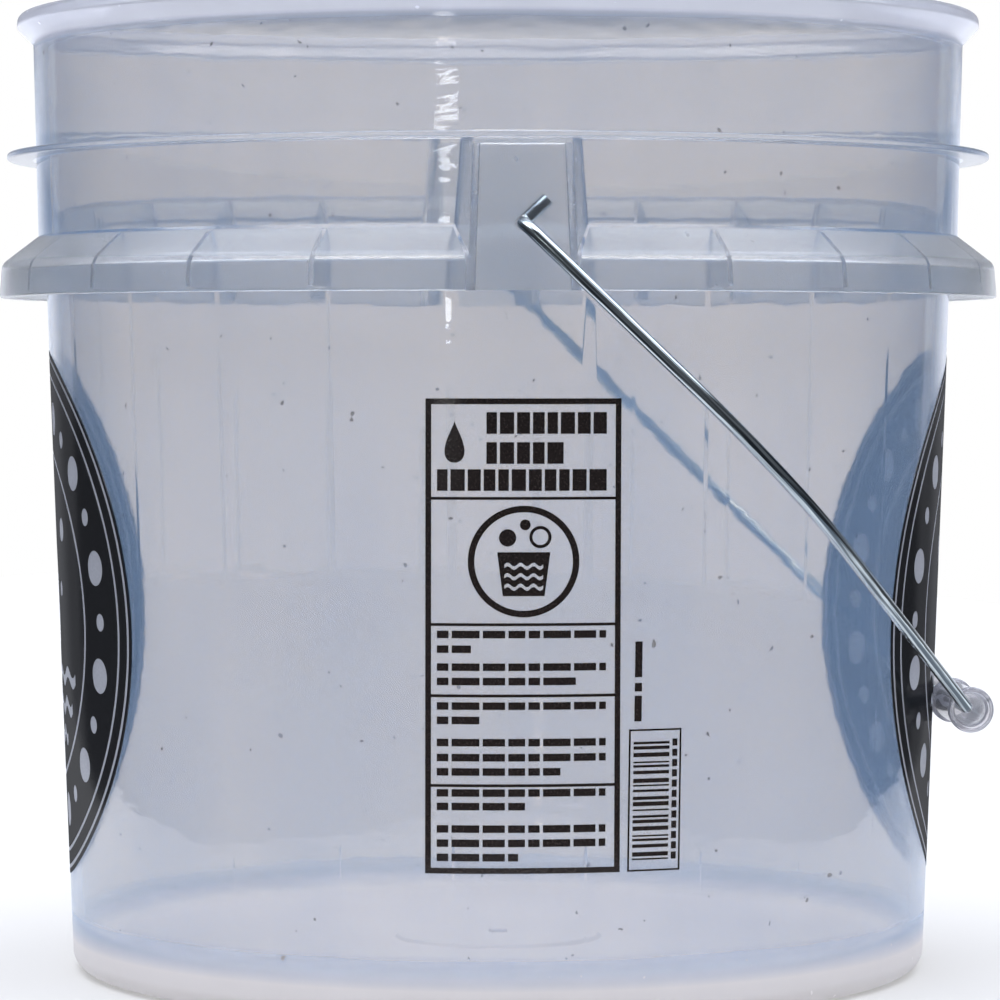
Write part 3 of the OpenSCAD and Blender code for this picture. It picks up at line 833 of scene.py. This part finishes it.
camera_data = bpy.data.cameras.new("camera")
camera_data.sensor_width = 36
camera_data.lens = CAMERA_LENS
camera_data.clip_start = 0.01
camera_data.clip_end = 60
camera = bpy.data.objects.new("camera", camera_data)
turn = math.radians(CAMERA_TURN)
look_turn, look_down = math.radians(CAMERA_TURN + CAMERA_YAW), math.radians(CAMERA_PITCH)
away = CAMERA_DISTANCE * MM
camera.location = (-away * math.sin(turn), -away * math.cos(turn), CAMERA_HEIGHT * MM)
level_part = math.cos(look_down)
look = Vector((math.sin(look_turn) * level_part, math.cos(look_turn) * level_part, -math.sin(look_down)))
camera.rotation_mode = "QUATERNION"
camera.rotation_quaternion = look.to_track_quat("-Z", "Y")
scene.collection.objects.link(camera)
scene.camera = camera

# ---------------------------------------------------------------- the object
pail_plastic = clear_plastic("clear_plastic", WALL_CLEAR, WALL_HAZE, WALL_MIX, WALL_ROUGH, WALL_RIPPLE,
                             thick=True)
grip_plastic = clear_plastic("clear_grip", GRIP_CLEAR, GRIP_HAZE, GRIP_MIX, GRIP_ROUGH, GRIP_RIPPLE)
steel = zinc_wire()
black_ink = ink("black_ink", (0.008, 0.009, 0.011), (0.02, 0.021, 0.025))
pale_ink = ink("pale_ink", (0.42, 0.44, 0.50), (0.50, 0.52, 0.58))
brown_ink = ink("notice_ink", (0.014, 0.009, 0.008), (0.035, 0.026, 0.024))

# Each piece with the CAD node it replaces, the body it rides on, its slot and its material
PIECES = (
    (make_pail(), "pail_body", "pail", "clear_plastic", pail_plastic),
    (make_bail(), "bail_wire", "bail", "zinc_wire", steel),
    (make_grip(), "grip", "roller", "clear_grip", grip_plastic),
    (make_emblem("badge_right", EMBLEM_RIGHT_ANGLE), "emblem_right", "pail", "black_ink", black_ink),
    (make_emblem("badge_left", EMBLEM_LEFT_ANGLE), "emblem_left", "pail", "black_ink", black_ink),
    (make_emblem_ground("badge_ground_right", EMBLEM_RIGHT_ANGLE), None, "pail", None, pale_ink),
    (make_emblem_ground("badge_ground_left", EMBLEM_LEFT_ANGLE), None, "pail", None, pale_ink),
    (make_notice(), "notice_panel", "pail", "notice_ink", brown_ink),
    (make_code(), "code_panel", "pail", "notice_ink", brown_ink),
)
for piece, cad_node, body, slot, mat in PIECES:
    piece.data.materials.clear()
    piece.data.materials.append(mat)
    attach(piece, body)
    if cad_node:
        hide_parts(cad_node)

# ---------------------------------------------------------------- studio, in metres
# Brightness of the room: before the object, at its sides, in the wall behind and its wings, and overhead
SKY_FRONT, SKY_SIDE, SKY_WHITE, SKY_WINGS, SKY_TOP = 0.10, 0.12, 1.27, 0.5, 4.4
SKY_TINT = (0.95, 0.975, 1.06)
# Cosines of the angle from straight behind, between which the sides turn into the front
SIDE_COS, FRONT_COS = -0.6, -0.95
# Degrees from straight behind: where the white starts to fade, where the wings begin, and the wall's edge
WHITE_END, WINGS_START, WALL_EDGE = 20, 32, 41
WALL_EDGE_BLUR = 0.01
# Sines of the angle above the horizon: where the wall fades to a share of itself, and where the top light
# begins
FADE_LOW, FADE_HIGH, SKY_FADE = 0.05, 0.072, 0.3
TOP_LOW, TOP_HIGH = 0.62, 0.80
# The floor: an ellipse that reaches this far in front of the pail's axis
FLOOR_WIDE, FLOOR_LONG, FLOOR_FRONT = 1.1, 3.0, 0.34
FLOOR_GREY, FLOOR_GLOW = 0.36, 0.33
# Soft boxes one above another, beside the camera: height of the middle, width and height of each
KEY_STRIPS = ((0.257, 0.14, 0.010), (0.243, 0.07, 0.012), (0.200, 0.07, 0.03), (0.120, 0.07, 0.03))
KEY_TURN, KEY_DISTANCE, KEY_RADIANCE, KEY_AIM_Z = CAMERA_TURN + 12, 1.5, 15, 0.2


def make_world():
    """A dim room with a white wall behind the object, whose upper part is dimmer, and a light overhead.

    The camera itself sees plain white.
    """
    world = bpy.data.worlds.new("studio")
    scene.world = world
    world.use_nodes = True
    tree = world.node_tree
    tree.nodes.clear()
    direction = node(tree, "ShaderNodeTexCoord").outputs["Generated"]
    axes = node(tree, "ShaderNodeSeparateXYZ", {0: direction}).outputs
    flat = node(tree, "ShaderNodeVectorMath", {0: direction, 1: (1, 1, 0)}, operation="MULTIPLY").outputs[0]
    unit = node(tree, "ShaderNodeVectorMath", {0: flat}, operation="NORMALIZE").outputs[0]
    behind = node(tree, "ShaderNodeVectorMath", {0: unit, 1: (math.sin(turn), math.cos(turn), 0)},
                  operation="DOT_PRODUCT").outputs["Value"]
    white_cos, wings_cos, edge_cos = (math.cos(math.radians(a)) for a in (WHITE_END, WINGS_START, WALL_EDGE))
    front = to_range(tree, behind, SKY_FRONT, SKY_SIDE, FRONT_COS, SIDE_COS)
    back = to_range(tree, behind, SKY_WINGS, SKY_WHITE, wings_cos, white_cos)
    back = math_node(tree, "MULTIPLY", back, to_range(tree, axes["Z"], 1, SKY_FADE, FADE_LOW, FADE_HIGH))
    on_wall = to_range(tree, behind, 0, 1, edge_cos - WALL_EDGE_BLUR, edge_cos + WALL_EDGE_BLUR)
    around = mix_number(tree, on_wall, front, back)
    level = mix_number(tree, to_range(tree, axes["Z"], 0, 1, TOP_LOW, TOP_HIGH), around, SKY_TOP)
    colour = node(tree, "ShaderNodeVectorMath", {0: SKY_TINT, "Scale": level}, operation="SCALE").outputs[0]
    seen = node(tree, "ShaderNodeLightPath").outputs["Is Camera Ray"]
    room = node(tree, "ShaderNodeBackground", {"Color": colour})
    plain = node(tree, "ShaderNodeBackground", {"Color": (1, 1, 1, 1)})
    both = node(tree, "ShaderNodeMixShader", {0: seen, 1: room.outputs[0], 2: plain.outputs[0]})
    node(tree, "ShaderNodeOutputWorld", {"Surface": both.outputs[0]})


def make_floor():
    """A pale floor that also glows a little, as paper lit from below does."""
    mesh = bpy.data.meshes.new("floor")
    rim = [(x * FLOOR_WIDE / 2, y * FLOOR_LONG / 2, 0) for x, y in circle(0, 0, 1, 128)]
    mesh.from_pydata(rim, [], [tuple(range(len(rim)))])
    floor = bpy.data.objects.new("floor", mesh)
    floor.location = (0, FLOOR_LONG / 2 - FLOOR_FRONT, -0.0002)
    scene.collection.objects.link(floor)
    mat, tree = material("floor_paper")
    paper = node(tree, "ShaderNodeBsdfPrincipled", {
        "Base Color": (FLOOR_GREY, FLOOR_GREY, FLOOR_GREY, 1), "Roughness": 0.9, "Specular IOR Level": 0.0,
        "Emission Color": (1, 1, 1, 1), "Emission Strength": FLOOR_GLOW})
    node(tree, "ShaderNodeOutputMaterial", {"Surface": paper.outputs[0]})
    mesh.materials.append(mat)


def key_light(name, height, width, tall):
    """An elliptical soft box that faces the pail, its middle at that height."""
    data = bpy.data.lights.new(name, "AREA")
    data.shape = "ELLIPSE"
    data.size, data.size_y = width, tall
    area = math.pi * width * tall / 4
    data.energy = KEY_RADIANCE * math.pi * area
    light = bpy.data.objects.new(name, data)
    a = math.radians(KEY_TURN)
    light.location = (-KEY_DISTANCE * math.sin(a), -KEY_DISTANCE * math.cos(a), height)
    aim = Vector((0, 0, KEY_AIM_Z)) - light.location
    light.rotation_mode = "QUATERNION"
    light.rotation_quaternion = aim.to_track_quat("-Z", "Y")
    light.visible_camera = False
    scene.collection.objects.link(light)


make_world()
make_floor()
for number, (height, width, tall) in enumerate(KEY_STRIPS):
    key_light(f"key_{number}", height, width, tall)

scene.view_settings.view_transform = "Standard"
scene.cycles.max_bounces = 24
scene.cycles.transmission_bounces = 24
scene.cycles.glossy_bounces = 8
scene.cycles.diffuse_bounces = 4
scene.cycles.transparent_max_bounces = 16
